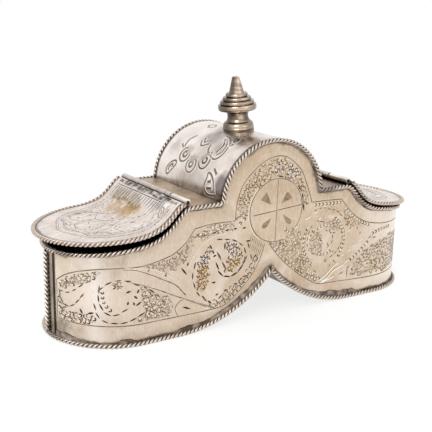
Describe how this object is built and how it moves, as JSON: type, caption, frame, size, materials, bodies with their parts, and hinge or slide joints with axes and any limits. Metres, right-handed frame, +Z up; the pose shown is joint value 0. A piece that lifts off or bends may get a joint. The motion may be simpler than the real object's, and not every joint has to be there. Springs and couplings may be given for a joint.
{
  "type": "double trinket box",
  "caption": "Low metal trinket box with round ends, a hinged lid over each end, and a raised barrel roof with a turned finial between them.",
  "frame": {"origin": "under the middle of the box, on the surface that it stands on", "axes": "+X along the box towards the right-hand lid, -Y towards the engraved front, +Z up"},
  "size_m": [0.2363, 0.0744, 0.127],
  "materials": {
    "wall_sheet": "aged nickel silver sheet, warm satin, engraved",
    "base_sheet": "aged nickel silver sheet, dull",
    "roof_sheet": "aged nickel silver sheet, satin, engraved",
    "lid_sheet": "aged nickel silver sheet, satin, worn brassy near the hinge",
    "trim_wire": "two drawn wires twisted together, bright crowns and dark recesses",
    "hinge_metal": "drawn tube and strip, worn bright on top",
    "pin_wire": "dull iron wire and hardware",
    "turned_finial": "turned nickel silver, polished, grime in the grooves"
  },
  "bodies": {
    "box": {"front_wall": "wall_sheet", "back_wall": "wall_sheet", "base_plate": "base_sheet", "divider": "base_sheet", "barrel_roof": "roof_sheet", "left_deck": "roof_sheet", "right_deck": "roof_sheet", "front_rim_wire": "trim_wire", "back_rim_wire": "trim_wire", "left_base_wire": "trim_wire", "right_base_wire": "trim_wire", "left_end_strap": "wall_sheet", "right_end_strap": "wall_sheet", "left_end_wire": "trim_wire", "right_end_wire": "trim_wire", "left_box_hinge_leaf": "hinge_metal", "right_box_hinge_leaf": "hinge_metal", "left_hinge_pin": "pin_wire", "right_hinge_pin": "pin_wire", "finial": "turned_finial", "finial_stud": "pin_wire", "finial_washer": "pin_wire", "finial_nut": "pin_wire"},
    "left_lid": {"left_lid": "lid_sheet", "left_lid_wire": "trim_wire", "left_lid_hinge_leaf": "hinge_metal"},
    "right_lid": {"right_lid": "lid_sheet", "right_lid_wire": "trim_wire", "right_lid_hinge_leaf": "hinge_metal"}
  },
  "joints": [
    {"name": "left_lid_hinge", "type": "hinge", "parent": "box", "child": "left_lid", "pos_m": [-0.0524, 0, 0.0701], "axis": [0, 1, 0], "range_deg": [-3.5, 140]},
    {"name": "right_lid_hinge", "type": "hinge", "parent": "box", "child": "right_lid", "pos_m": [0.0524, 0, 0.0701], "axis": [0, -1, 0], "range_deg": [0, 143.5]}
  ]
}
